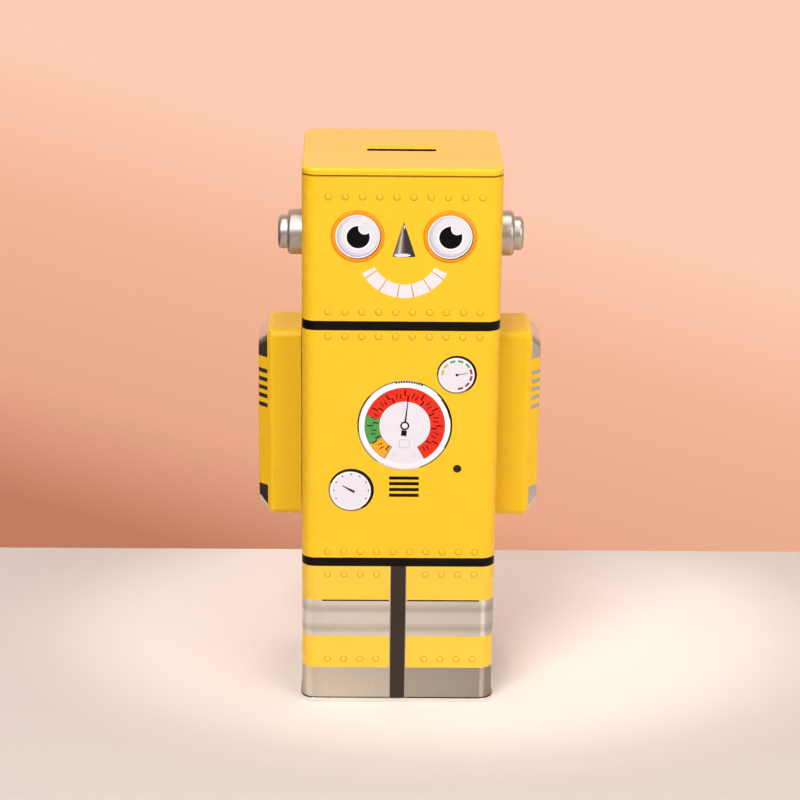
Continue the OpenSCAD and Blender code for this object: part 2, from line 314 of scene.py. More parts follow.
def enamel(name, rgb, gloss=0.26, depth=0.008, coat=0.05, shine=0.22):
    """Printed ink under varnish: slightly uneven in colour and gloss, with a fine skin."""
    m, tree, shader, coords = material(name)
    dark, middle, light = [linear(c) for c in shades(rgb, depth)]
    cloud = noise(tree, coords, scale=28)
    colour = ramp(tree, cloud, [(0.3, dark), (0.5, middle), (0.72, light)])
    tree.links.new(colour, shader.inputs["Base Color"])
    rub = noise(tree, coords, scale=160, detail=4)
    tree.links.new(spread(tree, rub, gloss * 0.95, gloss * 1.12), shader.inputs["Roughness"])
    shader.inputs["Coat Weight"].default_value = coat
    shader.inputs["Coat Roughness"].default_value = 0.08
    shader.inputs["Specular IOR Level"].default_value = shine
    skin = noise(tree, coords, scale=300, detail=2)
    bump(tree, shader, skin, strength=0.01, distance=0.0001)
    INKS[name] = m


def tin(
    name, rgb, gloss=0.3, depth=0.025, streak=(0.05, 0.05, 1), scale=900, metal=1.0, painted_reflection_by_x=None,
):
    """Bright tinplate. It has rolled streaks, or painted reflections from left to right, as on the legs'
    bare tin.
    """
    m, tree, shader, coords = material(name)
    if painted_reflection_by_x:
        # Painted reflection: the colour follows the place across the front, from left to right.
        half = BODY_W / 2 * MM
        wide = spread(tree, sideways(tree, coords), 0, 1, -half, half)
        stops = [(place, linear([c * k for c in rgb])) for place, k in painted_reflection_by_x]
        colour = ramp(tree, wide, stops)
    else:
        stretched = placed(tree, coords, size=streak, kind="POINT")
        lines = noise(tree, stretched, scale, detail=4)
        dark, middle, light = [linear(c) for c in shades(rgb, depth)]
        colour = ramp(tree, lines, [(0.3, dark), (0.5, middle), (0.7, light)])
        bump(tree, shader, lines, strength=0.03, distance=0.00006)
    tree.links.new(colour, shader.inputs["Base Color"])
    cloud = noise(tree, coords, scale=70, detail=4)
    tree.links.new(spread(tree, cloud, gloss * 0.75, gloss * 1.35), shader.inputs["Roughness"])
    shader.inputs["Metallic"].default_value = metal
    INKS[name] = m


enamel("yellow", (253, 199, 40))
enamel("yellow_low", (253, 203, 66))
enamel("yellow_lid", (253, 190, 44), gloss=0.16, coat=0.3, shine=0.5)
enamel("yellow_arm", (238, 194, 26))
# Painted shade for the steep edge round each rivet dome.
enamel("rivet_line", (190, 140, 12))
enamel("black", (14, 9, 3), gloss=0.35, coat=0.0, shine=0.12)
# Black print on the legs, lifted towards brown by a painted reflection of the floor.
enamel("leg_black", (56, 44, 38), gloss=0.35, coat=0.0, shine=0.2)
enamel("brown", (70, 42, 16), coat=0.0, shine=0.15)
# Painted shade for the gap between the lid's hem and the tube's curled top.
enamel("edge_brown", (178, 130, 22), coat=0.0, shine=0.15)
enamel("mouth_line", (196, 150, 40))
enamel("button", (44, 33, 18), coat=0.0, shine=0.15)
enamel("orange", (246, 152, 18))
enamel("orange_edge", (228, 138, 20))
enamel("white", (250, 250, 253))
enamel("eye_pale", (229, 226, 234))
enamel("eye_shade", (196, 190, 206))
enamel("eye_mid", (214, 210, 222))
enamel("pupil", (8, 5, 5), gloss=0.35, coat=0.0, shine=0.1)
enamel("tooth", (240, 230, 234))
enamel("dial", (233, 228, 235))
enamel("dial_rim", (242, 239, 244))
enamel("amber", (246, 168, 36))
enamel("green", (82, 160, 82))
enamel("red", (236, 44, 22))
enamel("dark_red", (156, 30, 26))
enamel("grey", (140, 122, 100))
enamel("pale_grey", (206, 196, 198))

# Painted reflection on the legs' bare tin, with highlights at its corners, as (place from the left side to
# the right, share of its colour).
FOOT_PAINTED_REFLECTION = [
    (0, 0.9), (0.015, 0.94), (0.03, 1.12), (0.05, 1.1), (0.06, 1.03), (0.12, 1.06), (0.46, 0.98),
    (0.54, 0.88), (0.86, 0.82), (0.93, 0.8), (0.938, 0.98), (0.95, 0.96), (0.962, 0.74), (1, 0.68),
]
# The same painted reflection, milder on the right, for the bare band over the legs.
BAND_PAINTED_REFLECTION = [
    (0, 0.88), (0.015, 0.9), (0.03, 1.04), (0.05, 1.02), (0.06, 0.97), (0.12, 0.99), (0.46, 0.98),
    (0.54, 0.96), (0.86, 0.93), (0.93, 0.93), (0.938, 1.06), (0.95, 1.04), (0.962, 0.84), (1, 0.74),
]
tin("bare_light", (199, 192, 180), gloss=0.34, painted_reflection_by_x=FOOT_PAINTED_REFLECTION)
tin("band_light", (240, 235, 226), gloss=0.34, painted_reflection_by_x=BAND_PAINTED_REFLECTION)
tin("band_mid", (227, 221, 210), gloss=0.34, painted_reflection_by_x=BAND_PAINTED_REFLECTION)
tin("band_tan", (216, 208, 195), gloss=0.34, painted_reflection_by_x=BAND_PAINTED_REFLECTION)
tin("arm_bare", (214, 206, 198), gloss=0.22)
tin("inside", (186, 178, 168), gloss=0.4)
tin("base_tin", (240, 235, 226), gloss=0.14)
tin("ear_tin", (200, 192, 184), gloss=0.34, streak=(1, 1, 1), scale=300, metal=0.9)
tin("steel", (158, 158, 162), gloss=0.3, streak=(1, 1, 1), scale=700)

NOSE_TIP = (0.5, 196.2)


def nose_ink():
    """Shading round a cone whose tip is at the nose's tip: lighter on its left, black on its right."""
    m, tree, shader, coords = material("nose")
    tip = (NOSE_TIP[0] * MM, 0, NOSE_TIP[1] * MM)
    upright = placed(tree, coords, tip, (math.radians(90), 0, 0))
    light, mid, edge = linear((206, 196, 190)), linear((122, 112, 106)), linear((86, 78, 72))
    dark, black = linear((62, 52, 46)), linear((12, 9, 6))
    colour = ramp(tree, gradient(tree, upright, "RADIAL"), [
        (0.203, edge), (0.218, mid), (0.230, light), (0.241, mid),
        (0.253, dark), (0.270, black), (0.297, black),
    ])
    tree.links.new(colour, shader.inputs["Base Color"])
    rub = noise(tree, coords, scale=160, detail=4)
    tree.links.new(spread(tree, rub, 0.16, 0.3), shader.inputs["Roughness"])
    shader.inputs["Coat Weight"].default_value = 0.4
    INKS["nose"] = m


nose_ink()

# ---------------- print on the tube

# Areas of ink in the order they are laid down, as (ink, outline). An outline is a list of
# (way round the tube from the middle of the front, height). Later ones cover earlier ones.
prints = []


def paint(ink, outline):
    prints.append((ink, np.array(outline, float)))


def block(ink, x0, z0, x1, z1):
    paint(ink, [(x0, z0), (x1, z0), (x1, z1), (x0, z1)])


def arc(cx, cz, r, start, end, step=7.5):
    """Points on an arc. Angles are in degrees, clockwise from straight up."""
    n = max(2, int(math.ceil(abs(end - start) / step)))
    turns = [math.radians(start + (end - start) * i / n) for i in range(n + 1)]
    return [(cx + r * math.sin(a), cz + r * math.cos(a)) for a in turns]


def disc(ink, cx, cz, r, step=7.5):
    paint(ink, arc(cx, cz, r, 0, 360, step)[:-1])


def sector(ink, cx, cz, r0, r1, start, end, step=5):
    """Part of a ring between two radii and two angles."""
    paint(ink, arc(cx, cz, r1, start, end, step) + arc(cx, cz, r0, end, start, step))


def ray(ink, cx, cz, angle, r0, r1, w0, w1=None):
    """A straight stroke outwards from radius r0 to r1. It is w0 wide, and w1 wide at its outer end."""
    a = math.radians(angle)
    ux, uz = math.sin(a), math.cos(a)
    w1 = w0 if w1 is None else w1
    corners = [(r0, -w0), (r0, w0), (r1, w1), (r1, -w1)]
    paint(ink, [(cx + r * ux + w / 2 * uz, cz + r * uz - w / 2 * ux) for r, w in corners])


def band(ink, low, high):
    block(ink, -HALF_ROUND, low, HALF_ROUND, high)


HIP_LOW, HIP_HIGH = 57.9, 61.5
NECK_LOW, NECK_HIGH = 153.7, 157.4
LEG_HALF = 2.87
LEG_EDGE = 0.35
FOOT_HIGH = 14.9
FOOT_LINE = 0.35
RIM_H = 1.8
BAND_LOW = 28.3
BAND_LINE_LOW, BAND_LINE_HIGH = 43.2, 43.8
band("yellow_low", TUBE_FOOT, HIP_HIGH)
band("black", NECK_LOW, NECK_HIGH)
band("black", HIP_LOW, HIP_HIGH)
band("bare_light", TUBE_FOOT, FOOT_HIGH)
# The bare band over both legs, from its foot up, as (top, ink)
low = BAND_LOW
for high, ink in [
    (29.9, "band_light"), (30.7, "band_mid"), (32.4, "band_tan"),
    (33.6, "band_mid"), (38.2, "band_light"), (38.8, "band_mid"),
    (40.6, "band_tan"), (41.6, "band_mid"), (43.6, "band_light"),
]:
    band(ink, low, high)
    low = high
for x0, x1 in ((-29.6, -3.4), (3.6, 31.7)):
    block("brown", x0, BAND_LINE_LOW, x1, BAND_LINE_HIGH)
# The black line between the legs, with a bare edge in front, and a thin one along the base's rim. Their
# black print is lifted by a painted reflection of the floor.
block("bare_light", -LEG_HALF - LEG_EDGE, TUBE_FOOT, LEG_HALF + LEG_EDGE, HIP_LOW)
band("leg_black", TUBE_FOOT, RIM_H + FOOT_LINE)
block("leg_black", -LEG_HALF, TUBE_FOOT, LEG_HALF, HIP_LOW)
for side in (-1, 1):
    edge = side * HALF_ROUND
    block("leg_black", edge - side * LEG_HALF, TUBE_FOOT, edge, HIP_LOW)

# Eyes
EYE_Z = 190.3
EYE_R = 10.1
FACE_MIDDLE = 0.6
EYE_APART = 17.2
PUPIL_R = 4.3
PUPIL_EDGE_R = 4.9
EYES = [(FACE_MIDDLE - EYE_APART, EYE_Z), (FACE_MIDDLE + EYE_APART, EYE_Z)]
for ex, ez in EYES:
    disc("orange_edge", ex, ez, EYE_R, 5)
    disc("orange", ex, ez, EYE_R - 0.25, 5)
    disc("brown", ex + 0.14, ez - 0.16, 8.5, 5)
    disc("white", ex, ez, 8.3, 5)
    disc("eye_shade", ex, ez, 7.9, 5)
    disc("eye_mid", ex + 0.35, ez + 0.25, 7.45, 5)
    disc("eye_pale", ex + 0.75, ez + 0.5, 6.95, 5)
    px, pz = ex + 0.2, ez - 0.2
    disc("white", px, pz, PUPIL_EDGE_R)
    disc("pupil", px, pz, PUPIL_R)
    # The glint, kept within the pupil's white edge
    for ink, r in (("white", 2.35), ("eye_pale", 1.95)):
        glint = []
        for x, z in arc(px + 2.36, pz + 3.4, r, 0, 360, 12)[:-1]:
            share = min(1, PUPIL_EDGE_R / math.hypot(x - px, z - pz))
            glint.append((px + (x - px) * share, pz + (z - pz) * share))
        paint(ink, glint)

# Nose: a cone with a curved foot, a pale oval under it and a glint at its tip
NOSE_BASE = 182.7
NOSE_MIDDLE = 0.7
NOSE_HALF = 4.3


def oval(cx, cz, rx, rz, turns):
    return [(cx + rx * math.cos(a), cz + rz * math.sin(a)) for a in turns]


half_turn = [math.pi * i / 12 for i in range(13)]
paint("nose", [NOSE_TIP] + oval(NOSE_MIDDLE, NOSE_BASE, NOSE_HALF, -0.35, half_turn))
full_turn = [math.pi * i / 12 for i in range(24)]
paint("eye_pale", oval(NOSE_MIDDLE - 0.6, NOSE_BASE + 0.45, 3.1, 0.65, full_turn))
paint("white", [(0.75, 194.9), (1.05, 193.9), (0.85, 193.0), (0.55, 193.9)])

# Mouth: seven teeth in an arc
MOUTH = (1.0, 184.4)
MOUTH_IN, MOUTH_OUT = 12.6, 17.85
MOUTH_END = 63
TOOTH_GAP = 0.75
TOOTH_ENDS = [-MOUTH_END, -55, -32, -8.5, 11.5, 34, 54, MOUTH_END]
mouth_from, mouth_to = 180 - MOUTH_END + TOOTH_GAP, 180 + MOUTH_END - TOOTH_GAP
sector("mouth_line", *MOUTH, MOUTH_IN, MOUTH_OUT, mouth_from, mouth_to, 4)
for a, b in zip(TOOTH_ENDS, TOOTH_ENDS[1:]):
    sector("tooth", *MOUTH, MOUTH_IN, MOUTH_OUT, 180 - a - TOOTH_GAP, 180 - b + TOOTH_GAP, 4)

# Big gauge: a rim shaded unevenly round its edge, a glint, then the dial
GAUGE = (1.8, 115.9)
GAUGE_R = 18.1
GLINT_OUT = 17.2
DIAL_R = 15.25
disc("dial_rim", *GAUGE, GAUGE_R, 4)
for ink, depth, start, end in [
    ("pale_grey", 0.35, 160, 215), ("grey", 0.5, 215, 262), ("black", 0.55, 262, 312),
    ("grey", 0.5, 312, 348), ("black", 0.35, 376, 404), ("black", 0.6, 404, 412),
    ("black", 0.9, 412, 440), ("black", 0.7, 440, 480), ("black", 0.45, 480, 520),
]:
    sector(ink, *GAUGE, GAUGE_R - depth, GAUGE_R, start, end, 4)
for k in range(11):
    ray("black", *GAUGE, -11 + 3.2 * k, 17.25, GAUGE_R - 0.05, 0.75)
sector("white", *GAUGE, DIAL_R, GLINT_OUT, -125, 125, 4)
disc("dial", *GAUGE, DIAL_R, 4)
# The coloured ring and its fine brown edge
RING_IN, RING_OUT = 9.9, 15.2
RING_EDGE = 0.15
HALF_RING = 12.1
sector("brown", *GAUGE, RING_IN - RING_EDGE, RING_OUT + RING_EDGE, -150.6, 150.6, 4)
for start, end, ink in [(-149.6, -119.4, "amber"), (-119, -74.8, "green"), (-74.4, 149.6, "red")]:
    sector(ink, *GAUGE, RING_IN, RING_OUT, start, end, 4)
# Its strokes come every 30 degrees, some outwards from the ring's middle line and some inwards.
STROKE_TURN = 30
for k in range(-4, 5):
    ray("black", *GAUGE, STROKE_TURN * k, HALF_RING, 14.5, 0.5)
for turn in [STROKE_TURN * k for k in range(-5, 5)]:
    ray("black", *GAUGE, turn + 15, HALF_RING, 13.3, 0.42)
    ray("black", *GAUGE, turn + 6, RING_IN + 0.1, HALF_RING, 0.5)
    ray("black", *GAUGE, turn + 21, 11.0, HALF_RING, 0.42)
    ray("black", *GAUGE, turn + 13.5, 11.3, HALF_RING, 0.34)
    ray("black", *GAUGE, turn + 22.5, HALF_RING, 12.9, 0.34)
    sector("black", *GAUGE, HALF_RING - 0.1, HALF_RING + 0.1, turn, turn + 6, 3)
# The needle, its tail and its hub
NEEDLE_TURN = 6.1
ray("black", *GAUGE, NEEDLE_TURN, 1.2, 12.4, 0.7, 0.25)
ray("black", *GAUGE, NEEDLE_TURN + 180, 1.8, 4.1, 2.1)
disc("black", *GAUGE, 1.76, 15)
disc("white", *GAUGE, 1.08, 18)
# The small window and two small rings under the hub
gx, gz = GAUGE
block("pale_grey", gx - 2.1, gz - 8.95, gx + 2.0, gz - 5.5)
block("dial", gx - 1.85, gz - 8.7, gx + 1.75, gz - 5.75)
for x in (gx - 3.75, gx + 3.75):
    disc("pale_grey", x, gz - 11.7, 0.8, 20)
    disc("dial", x, gz - 11.7, 0.55, 20)

# Upper small gauge: a rim with a dark side, then the dial, its coloured marks and its hand
HIGH = (21.3, 136.4)
HIGH_R = 7.5
MARK_IN, MARK_OUT = 5.1, 5.9
disc("grey", *HIGH, HIGH_R + 0.1, 6)
sector("black", *HIGH, 6.5, HIGH_R + 0.1, -92, 150, 6)
disc("white", HIGH[0] - 0.2, HIGH[1] - 0.05, 6.85, 6)
disc("dial", HIGH[0] - 0.1, HIGH[1], 6.3, 6)
for angle, ink in [
    (280, "amber"), (309, "amber"), (342, "green"), (14, "green"), (47, "green"),
    (76, "dark_red"), (104, "dark_red"), (134, "dark_red"), (165, "dark_red"),
]:
    ray(ink, *HIGH, angle, MARK_IN, MARK_OUT, 2.0)
ray("grey", *HIGH, 80, 0, 4.2, 0.4, 0.3)
disc("black", *HIGH, 0.55, 30)

# Lower small gauge: the same, with dots for marks
LOW = (-18.5, 89.5)
LOW_R = 8.6
DOTS_R = 6.6
disc("grey", *LOW, LOW_R + 0.15, 6)
sector("black", *LOW, 7.4, LOW_R + 0.15, -70, 150, 6)
disc("white", LOW[0] - 0.3, LOW[1] - 0.15, 7.85, 6)
disc("dial", LOW[0] - 0.2, LOW[1] - 0.1, 7.3, 6)
for k in range(9):
    angle = math.radians(240 + 30 * k)
    disc("black", LOW[0] + DOTS_R * math.sin(angle), LOW[1] + DOTS_R * math.cos(angle), 0.3, 30)
ray("black", *LOW, 299.5, 0, 3.9, 0.85, 0.3)
ray("black", *LOW, 119.5, 0, 1.5, 0.9)

# Button and vents
BUTTON = (22.1, 98.5)
BUTTON_R = 1.6
disc("button", *BUTTON, BUTTON_R, 12)
VENT_LEFT, VENT_RIGHT = -3.96, 7.48
VENT_HALF = 0.66
for z in (94.55, 92.26, 89.83, 87.49):
    block("black", VENT_LEFT, z - VENT_HALF, VENT_RIGHT, z + VENT_HALF)

# ---------------- rivets

# Rows of pressed rivets, the same on the front and the back. Each has a darker ring painted round the steep
# edge of its dome as painted shade.
ROW_SHIFT = 1.0
PITCH = 6.35
RIVET_R = 1.4
RIVET_H = 0.4
RIVET_SHADE_R = 1.36
RIVET_TOP_R = 1.1
rivets = []
for z in (205.4, 160.9, 151.3, 64.0):
    rivets += [(ROW_SHIFT + (i - 4.5) * PITCH, z) for i in range(10)]
for z in (54.5, 18.5):
    rivets += [(ROW_SHIFT + side * (9.4 + i * PITCH), z) for side in (-1, 1) for i in range(4)]
for x, z in list(rivets):
    back = HALF_ROUND - abs(x)
    rivets.append((back if x > 0 else -back, z))
for x, z in rivets:
    disc("rivet_line", x, z, RIVET_SHADE_R, 24)
    disc("yellow_low" if z < HIP_HIGH else "yellow", x, z, RIVET_TOP_R, 24)
rivets = np.array(rivets)

# ---------------- pressed shape of the tube

# Raised discs as (sideways, height, radius, width of the soft edge).
RISE = 0.3
raised = [(x, z, EYE_R, 0.9) for x, z in EYES]
raised += [(*GAUGE, GAUGE_R, 0.9), (*HIGH, HIGH_R, 0.8), (*LOW, LOW_R, 0.8), (*BUTTON, BUTTON_R, 0.7)]

# The seam down the middle of the back: a lap inside, and a fine groove outside along its edge.
SEAM_W = 4
LAP_SHEET = 0.6
SEAM_LOW, SEAM_HIGH = 6, BODY_TOP - 4
GROOVE_AT = HALF_ROUND - SEAM_W / 2
GROOVE_W = 0.3
GROOVE_DEPTH = 0.15


def soft_step(t):
    t = np.clip(t, 0, 1)
    return t * t * (3 - 2 * t), 6 * t * (1 - t)


def relief(s, z):
    """How far the skin stands out at a place, and its slopes along s and z."""
    height = np.zeros(len(s))
    slope_s = np.zeros(len(s))
    slope_z = np.zeros(len(s))

    def add(cx, cz, reach, shape):
        near = np.flatnonzero((np.abs(s - cx) < reach) & (np.abs(z - cz) < reach))
        ds, dz = s[near] - cx, z[near] - cz
        dist = np.hypot(ds, dz)
        h, slope = shape(dist)
        safe = np.maximum(dist, 1e-9)
        height[near] += h
        slope_s[near] += slope * ds / safe
        slope_z[near] += slope * dz / safe

    def dome(dist):
        u = np.clip(1 - (dist / RIVET_R) ** 4, 0, 1)
        return RIVET_H * u ** 2, -8 * RIVET_H * u * dist ** 3 / RIVET_R ** 4

    for cx, cz in rivets:
        add(cx, cz, RIVET_R, dome)
    for cx, cz, r, edge in raised:
        def plateau(dist):
            value, grow = soft_step((r - dist) / edge)
            return RISE * value, -RISE * grow / edge
        add(cx, cz, r, plateau)
    u = np.clip(1 - (np.abs(s - GROOVE_AT) / GROOVE_W) ** 2, 0, 1)
    height -= GROOVE_DEPTH * u ** 2
    slope_s += 4 * GROOVE_DEPTH * u * (s - GROOVE_AT) / GROOVE_W ** 2
    return height, slope_s, slope_z


class Sheet:
    """Points and lines on a flat development of a skin, cut into triangles along the lines."""

    def __init__(self):
        self.points = []
        self.lines = []

    def loop(self, outline):
        start = len(self.points)
        self.points += [tuple(p) for p in outline]
        n = len(outline)
        self.lines += [(start + i, start + (i + 1) % n) for i in range(n)]

    def line(self, places):
        start = len(self.points)
        self.points += [tuple(p) for p in places]
        self.lines += [(start + i, start + i + 1) for i in range(len(places) - 1)]

    def dot(self, p):
        self.points.append(tuple(p))

    def cut(self):
        flat = [Vector(p) for p in self.points]
        out = delaunay_2d_cdt(flat, self.lines, [], 0, 1e-4)
        return np.array([tuple(v) for v in out[0]]), [tuple(f) for f in out[2]]


def inside(points, outline):
    """Which points are inside an outline."""
    low, high = outline.min(0), outline.max(0)
    hit = np.zeros(len(points), bool)
    near = np.flatnonzero(np.all((points >= low) & (points <= high), axis=1))
    if not len(near):
        return hit
    x, y = points[near, 0], points[near, 1]
    odd = np.zeros(len(near), bool)
    for (x0, y0), (x1, y1) in zip(outline, np.roll(outline, -1, axis=0)):
        if y0 == y1:
            continue
        crosses = (y0 > y) != (y1 > y)
        odd ^= crosses & (x < (x1 - x0) * (y - y0) / (y1 - y0) + x0)
    hit[near] = odd
    return hit


# Round holes in the tube's sides for the ear rivets and the arm rivets, as (way round, height, radius).
SIDE_MIDDLE = FRONT_HALF + QUARTER + SIDE / 2
EAR_Z = 183.0
EAR_HOLE_R = 1.55
SHOULDER_Z = 133.3
SHOULDER_HOLE_R = 2.05
holes = []
for s in (-SIDE_MIDDLE, SIDE_MIDDLE):
    holes += [(s, EAR_Z, EAR_HOLE_R), (s, SHOULDER_Z, SHOULDER_HOLE_R)]


def tube_sheet():
    """The tube laid flat, with lines along its bends, its seam, its prints and its pressed shapes."""
    low, high = TUBE_FOOT, BODY_TOP - CURL_R
    sheet = Sheet()
    sheet.loop([(-HALF_ROUND, low), (HALF_ROUND, low), (HALF_ROUND, high), (-HALF_ROUND, high)])
    uprights = []
    corner_steps = 8
    for i in range(corner_steps + 1):
        turn = QUARTER * i / corner_steps
        uprights += [FRONT_HALF + turn, FRONT_HALF + QUARTER + SIDE + turn]
    uprights = sorted([-u for u in uprights] + uprights)
    for s in uprights:
        sheet.line([(s, low), (s, high)])
    for k in (-1, -0.5, 0, 0.5, 1):
        s = GROOVE_AT + k * GROOVE_W
        sheet.line([(s, low), (s, high)])
    sheet.line([(-HALF_ROUND + SEAM_W / 2, low), (-HALF_ROUND + SEAM_W / 2, high)])
    for _, outline in prints:
        sheet.loop(outline)
    for cx, cz in rivets:
        sheet.dot((cx, cz))
        for share in (0.35, 0.55, 0.7, 0.8, 0.9, 1.0):
            sheet.loop(arc(cx, cz, RIVET_R * share, 0, 360, 22.5)[:-1])
    for cx, cz, r, edge in raised:
        for share in (0, 0.25, 0.5, 0.75, 1.0):
            sheet.loop(arc(cx, cz, r - edge * share, 0, 360, 5 if r > 3 else 15)[:-1])
    for cx, cz, r in holes:
        sheet.loop(arc(cx, cz, r, 0, 360, 15)[:-1])
    # Loose points between, so that no triangle is very long
    step = 6.0
    for s in np.arange(-HALF_ROUND + step / 2, HALF_ROUND, step):
        for z in np.arange(low + step / 2, high, step):
            if np.min(np.hypot(rivets[:, 0] - s, rivets[:, 1] - z)) > RIVET_R + 0.5:
                sheet.dot((s, z))
    return sheet


def tube_inks(middles):
    """The ink of each triangle, which is the last print over its middle."""
    inks = np.full(len(middles), "yellow", dtype=object)
    for ink, outline in prints:
        inks[inside(middles, outline)] = ink
    return inks


def curl_top(skin, top, base, out):
    """The curled top edge, over each flat edge in a list. Profile rows are (out, height, normal)."""
    level = BODY_TOP - CURL_R
    leg_x = -2 * CURL_R
    leg_end = level - CURL_LEG
    curl = profile_arc(-CURL_R, level, CURL_R, 0, 180, 10)
    under = profile_arc(-CURL_R, level, CURL_R - SHEET, 180, 0, 8, inside=True)
    parts = [
        (curl[:2], "yellow"),
        # The curl's upper part, down in the gap under the lid, gets painted shade.
        (curl[1:], "edge_brown"),
        (straight(leg_x, level, leg_x, leg_end, -1, 0), "inside"),
        (straight(leg_x, leg_end, leg_x + SHEET, leg_end, 0, -1), "inside"),
        (straight(leg_x + SHEET, leg_end, leg_x + SHEET, level, 1, 0), "inside"),
        (under, "inside"),
    ]
    for a, b in top:
        for rows, ink in parts:
            for first, last in zip(rows, rows[1:]):
                corners, normals = [], []
                for k, (x, h, nx, nz) in ((a, first), (b, first), (b, last), (a, last)):
                    corners.append(np.append(base[k] + out[k] * x, h))
                    normals.append(np.append(out[k] * nx, nz))
                skin.face(corners, normals, ink)


def build_tube():
    """The printed tube: its outside, its inside, the edges of its holes, and its curled top."""
    flat, triangles = tube_sheet().cut()
    s, z = flat[:, 0], flat[:, 1]
    base, out, ahead = around(s)
    height, slope_s, slope_z = relief(s, z)
    n = np.column_stack([out - slope_s[:, None] * ahead, -slope_z])
    n /= np.linalg.norm(n, axis=1)[:, None]
    outer = np.column_stack([base + out * height[:, None], z])
    from_seam = HALF_ROUND - np.abs(s)
    seam = (from_seam < SEAM_W / 2 - 0.01) & (z > SEAM_LOW) & (z < SEAM_HIGH)
    depth = SHEET + np.where(seam, LAP_SHEET, 0)
    inner = np.column_stack([base + out * (height - depth)[:, None], z])

    middles = np.array([flat[list(t)].mean(0) for t in triangles])
    inks = tube_inks(middles)
    gone = np.zeros(len(triangles), bool)
    for cx, cz, r in holes:
        gone |= np.hypot(middles[:, 0] - cx, middles[:, 1] - cz) < r
    skin = Skin()
    edges = {}
    for t, ink, cut in zip(triangles, inks, gone):
        if cut:
            continue
        skin.face([outer[i] for i in t], [n[i] for i in t], ink)
        skin.face([inner[i] for i in t], [-n[i] for i in t], "inside")
        for a, b in zip(t, t[1:] + t[:1]):
            key = (min(a, b), max(a, b))
            edges[key] = edges.get(key, 0) + 1
    # An edge with one triangle is at the foot, a hole, the top or the seam, where the tube closes.
    top = []
    for (a, b), count in edges.items():
        if count > 1:
            continue
        if abs(s[a] - s[b]) < 1e-6 and abs(abs(s[a]) - HALF_ROUND) < 1e-3:
            continue
        if min(z[a], z[b]) > BODY_TOP - CURL_R - 1e-3:
            top.append((a, b) if s[a] < s[b] else (b, a))
            continue
        across_edge = np.cross(outer[a] - outer[b], inner[a] - outer[a])
        middle = (outer[a] + outer[b]) / 2
        open_side = np.array([0, 0, -1.0])
        for cx, cz, r in holes:
            if math.hypot(s[a] - cx, z[a] - cz) < r + 0.1:
                there, _, _ = around(np.array([cx]))
                open_side = np.array([there[0][0], there[0][1], cz]) - middle
        normal = across_edge / np.linalg.norm(across_edge)
        if np.dot(normal, open_side) < 0:
            normal = -normal
        skin.face([outer[a], outer[b], inner[b], inner[a]], [normal] * 4, "inside")
    curl_top(skin, top, base, out)
    skin.build("printed_tube", "tin_body", ["body_shell"])


# ---------------- base, lid, ears

def run_round(skin, rows, ink):
    """Runs profile rows (out, height, normal out, normal up) round the tin's outline."""
    rings = [box_ring(BODY_W + 2 * o, BODY_D + 2 * o, CORNER_R + o, z, no, nz) for o, z, no, nz in rows]
    loft(skin, rings, ink)


def build_base():
    """A pan whose edge is folded round the foot of the tube."""
    low_x, high_x, bend, bend_in = -0.8, 0.5, 0.35, 0.1
    panel = 4.0
    panel_x = low_x - 5.0
    wall_top = RIM_H - 0.1
    lip_z = RIM_H - SHEET / 2
    inner_x, inner_high = low_x + SHEET, high_x - SHEET
    skin = Skin()
    for rows in (
        straight(high_x, wall_top, high_x, bend, 1, 0)
        + profile_arc(high_x - bend, bend, bend, 0, -90, 6)[1:]
        + straight(high_x - bend, 0, low_x + bend, 0, 0, -1)[1:]
        + profile_arc(low_x + bend, bend, bend, 270, 180, 6)[1:]
        + straight(low_x, bend, low_x, panel, -1, 0)[1:],
        straight(low_x, panel, panel_x, panel, 0, -1),
        straight(inner_x, panel + SHEET, inner_x, SHEET + bend_in, 1, 0),
        profile_arc(inner_x + bend_in, SHEET + bend_in, bend_in, 180, 270, 3, True),
        straight(inner_x + bend_in, SHEET, inner_high - bend_in, SHEET, 0, 1),
        profile_arc(inner_high - bend_in, SHEET + bend_in, bend_in, 270, 360, 3, True),
        straight(inner_high, SHEET + bend_in, inner_high, wall_top, -1, 0),
        straight(inner_high, wall_top, inner_high, lip_z, -1, 0),
        profile_arc(high_x - SHEET / 2, lip_z, SHEET / 2, 180, 0, 6),
        straight(high_x, lip_z, high_x, wall_top, 1, 0),
    ):
        run_round(skin, rows, "base_tin")
    # The panel, closed to its middle above and below
    for level, up, reach in ((panel, -1, panel_x), (panel + SHEET, 1, inner_x)):
        corner = max(CORNER_R + reach, 0.4)
        points, normals = box_ring(BODY_W + 2 * reach, BODY_D + 2 * reach, corner, level, 0, up)
        middle = np.array([0, 0, level])
        count = len(points)
        for i in range(count):
            j = (i + 1) % count
            skin.face([points[i], points[j], middle], [normals[i], normals[j], normals[i]], "base_tin")
    skin.build("base", "tin_body", ["base_pan"])


HEM_R = 0.45
HEM_LEG = 1.0
LID_EDGE_R = 1.2
SLOT_L, SLOT_W, SLOT_R = 26.4, 3.6, 1.0
DISH_DEPTH, DISH_SLOPE, DISH_EDGE = 0.8, 2.4, 0.4
DISH_W = SLOT_L + 2 * (DISH_SLOPE + DISH_EDGE)
DISH_D = SLOT_W + 2 * (DISH_SLOPE + DISH_EDGE)
DISH_R = DISH_D / 2 - 0.1


